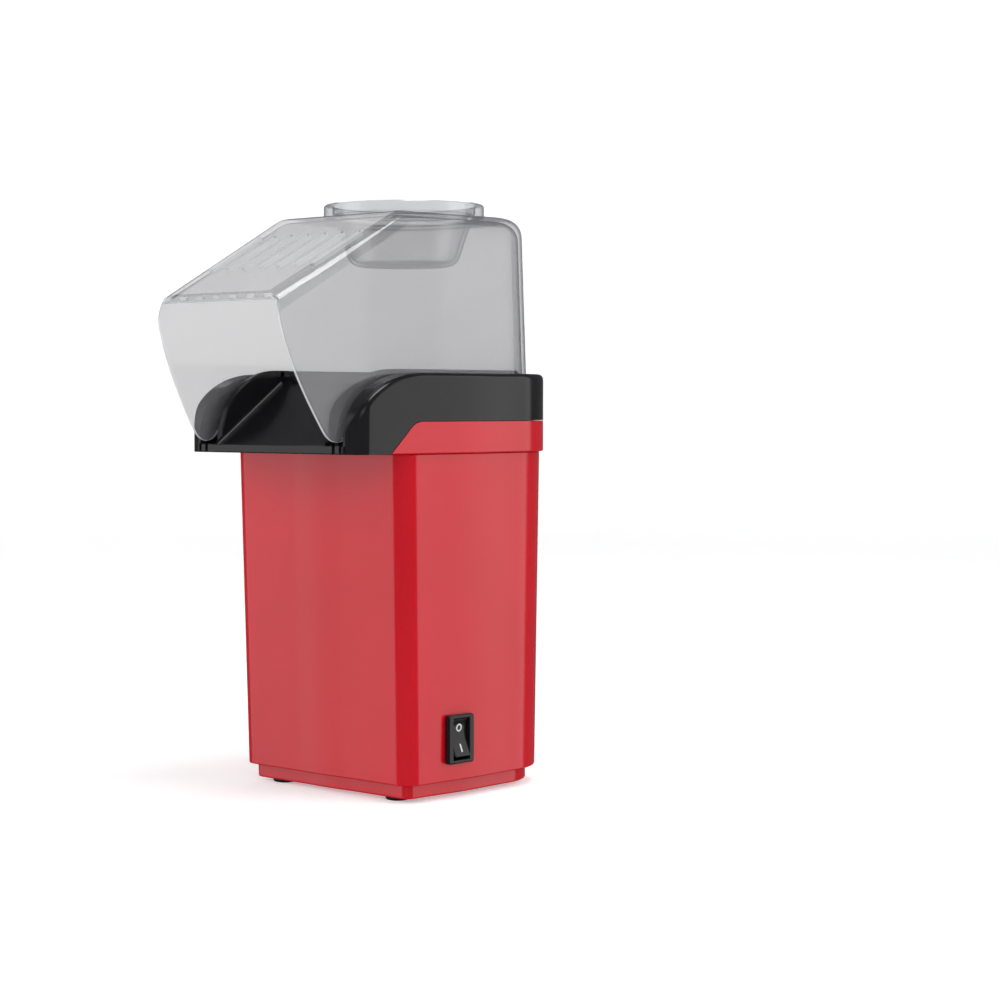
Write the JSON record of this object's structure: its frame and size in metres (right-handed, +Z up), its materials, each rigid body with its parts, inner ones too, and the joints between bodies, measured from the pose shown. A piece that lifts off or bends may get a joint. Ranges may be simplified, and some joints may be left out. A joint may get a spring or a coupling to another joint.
{
  "type": "popcorn maker",
  "caption": "Hot-air popcorn maker with a tall red casing, a black collar and chute, a clear hood open at the front, a measuring cup in its top and a rocker switch.",
  "frame": {"origin": "on the ground under the middle of the object's box", "axes": "+Z up, -Y towards the chute at the front, +X towards the side with the switch"},
  "size_m": [0.1286, 0.1922, 0.294],
  "materials": {
    "red_plastic": "gloss moulded, red",
    "black_plastic": "gloss moulded, black",
    "clear_plastic": "clear moulded, smoky grey",
    "rubber": "matt",
    "aluminium": "drawn sheet, satin",
    "steel": "zinc plated",
    "brass": "stamped",
    "mica": "pressed mica sheet",
    "resistance_wire": "dull wire",
    "silicone": "matt",
    "white_nylon": "moulded",
    "magnet": "sintered",
    "circuit_board": "solder mask",
    "phenolic": "moulded"
  },
  "bodies": {
    "body": {"base_plate": "red_plastic", "body_shell": "red_plastic", "top_collar": "black_plastic", "switch_frame": "black_plastic", "switch_terminal_1": "brass", "switch_terminal_2": "brass", "cord_gland": "black_plastic", "foot_1": "rubber", "foot_2": "rubber", "foot_3": "rubber", "foot_4": "rubber", "base_screw_1": "steel", "base_screw_2": "steel", "base_screw_3": "steel", "base_screw_4": "steel", "collar_screw_1": "steel", "collar_screw_2": "steel", "popping_chamber": "aluminium", "chamber_gasket": "silicone", "chamber_screw_1": "steel", "chamber_screw_2": "steel", "chamber_screw_3": "steel", "heat_shield": "steel", "heater_plate_1": "mica", "heater_plate_2": "mica", "heating_coil": "resistance_wire", "thermostat": "phenolic", "thermostat_bracket": "steel", "thermal_fuse": "steel", "blower_housing": "black_plastic", "motor_can": "steel", "motor_end_cap": "black_plastic", "motor_bearing_1": "brass", "motor_bearing_2": "brass", "motor_magnet_1": "magnet", "motor_magnet_2": "magnet", "motor_screw_1": "steel", "motor_screw_2": "steel", "rectifier_board": "circuit_board", "diode_1": "black_plastic", "diode_2": "black_plastic", "diode_3": "black_plastic", "diode_4": "black_plastic", "terminal_block": "white_nylon"},
    "hood": {"hood": "clear_plastic"},
    "cup": {"measuring_cup": "clear_plastic"},
    "rocker": {"switch_rocker": "black_plastic"},
    "fan": {"impeller": "white_nylon", "motor_shaft": "steel", "motor_rotor": "steel"}
  },
  "joints": [
    {"name": "hood_lift", "type": "slide", "parent": "body", "child": "hood", "axis": [0, 0, 1], "range_m": [0, 0.06]},
    {"name": "cup_lift", "type": "slide", "parent": "hood", "child": "cup", "axis": [0, 0, 1], "range_m": [0, 0.04]},
    {"name": "switch_rock", "type": "hinge", "parent": "body", "child": "rocker", "pos_m": [0.0583, 0.0074, 0.0297], "axis": [0, 1, 0], "range_deg": [0, 16]},
    {"name": "fan_spin", "type": "hinge", "parent": "body", "child": "fan", "pos_m": [0, 0.032, 0.059], "axis": [0, 0, 1], "continuous": true}
  ]
}
